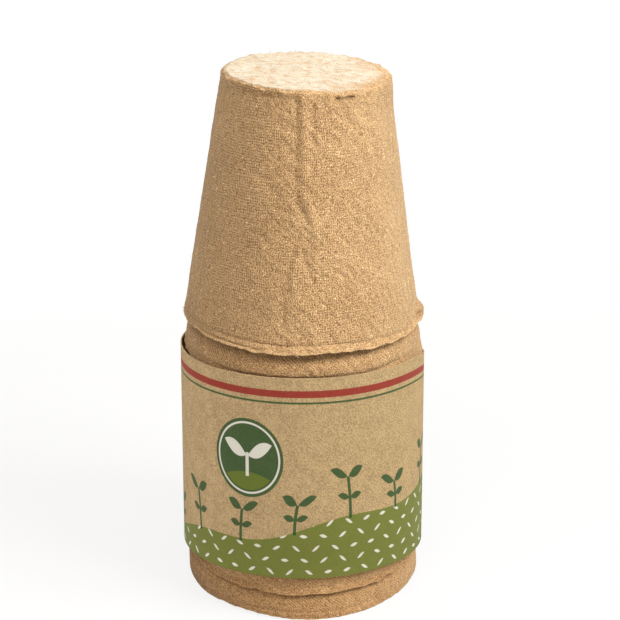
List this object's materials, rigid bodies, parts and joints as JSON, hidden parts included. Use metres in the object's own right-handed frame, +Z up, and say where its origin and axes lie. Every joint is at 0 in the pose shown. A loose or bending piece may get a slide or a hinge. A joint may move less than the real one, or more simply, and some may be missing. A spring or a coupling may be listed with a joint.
{
  "type": "peat pot stack",
  "caption": "Round tapered fibre pots with flared lips, nested upside down in a stack and held by a paper sleeve; seedlings are raised in them and planted out pot and all.",
  "frame": {"origin": "centre of the lowest pot's rim, on the surface that the stack stands on", "axes": "+Z up along the stack, -Y towards the front of the sleeve"},
  "size_m": [0.0834, 0.0834, 0.1753],
  "materials": {
    "moulded_fibre": "rough matte moulded fibre",
    "kraft_paper": "matte uncoated kraft with print",
    "seam_glue": "dried glue film"
  },
  "bodies": {
    "pot_01": {"pot_01": "moulded_fibre"},
    "pot_02": {"pot_02": "moulded_fibre"},
    "pot_03": {"pot_03": "moulded_fibre"},
    "pot_04": {"pot_04": "moulded_fibre"},
    "pot_05": {"pot_05": "moulded_fibre"},
    "pot_06": {"pot_06": "moulded_fibre"},
    "pot_07": {"pot_07": "moulded_fibre"},
    "pot_08": {"pot_08": "moulded_fibre"},
    "pot_09": {"pot_09": "moulded_fibre"},
    "pot_10": {"pot_10": "moulded_fibre"},
    "sleeve": {"paper_sleeve": "kraft_paper", "seam_glue": "seam_glue"}
  },
  "joints": [
    {"name": "pot_01_lift", "type": "slide", "parent": "pot_02", "child": "pot_01", "axis": [0, 0, 1], "range_m": [0, 0.072]},
    {"name": "pot_02_lift", "type": "slide", "parent": "pot_03", "child": "pot_02", "axis": [0, 0, 1], "range_m": [0, 0.072]},
    {"name": "pot_03_lift", "type": "slide", "parent": "pot_04", "child": "pot_03", "axis": [0, 0, 1], "range_m": [0, 0.072]},
    {"name": "pot_04_lift", "type": "slide", "parent": "pot_05", "child": "pot_04", "axis": [0, 0, 1], "range_m": [0, 0.072]},
    {"name": "pot_05_lift", "type": "slide", "parent": "pot_06", "child": "pot_05", "axis": [0, 0, 1], "range_m": [0, 0.072]},
    {"name": "pot_06_lift", "type": "slide", "parent": "pot_07", "child": "pot_06", "axis": [0, 0, 1], "range_m": [0, 0.072]},
    {"name": "pot_07_lift", "type": "slide", "parent": "pot_08", "child": "pot_07", "axis": [0, 0, 1], "range_m": [0, 0.072]},
    {"name": "pot_08_lift", "type": "slide", "parent": "pot_09", "child": "pot_08", "axis": [0, 0, 1], "range_m": [0, 0.072]},
    {"name": "pot_09_lift", "type": "slide", "parent": "pot_10", "child": "pot_09", "axis": [0, 0, 1], "range_m": [0, 0.072]},
    {"name": "sleeve_slide", "type": "slide", "parent": "pot_10", "child": "sleeve", "axis": [0, 0, 1], "range_m": [-0.0075, 0.172]}
  ]
}
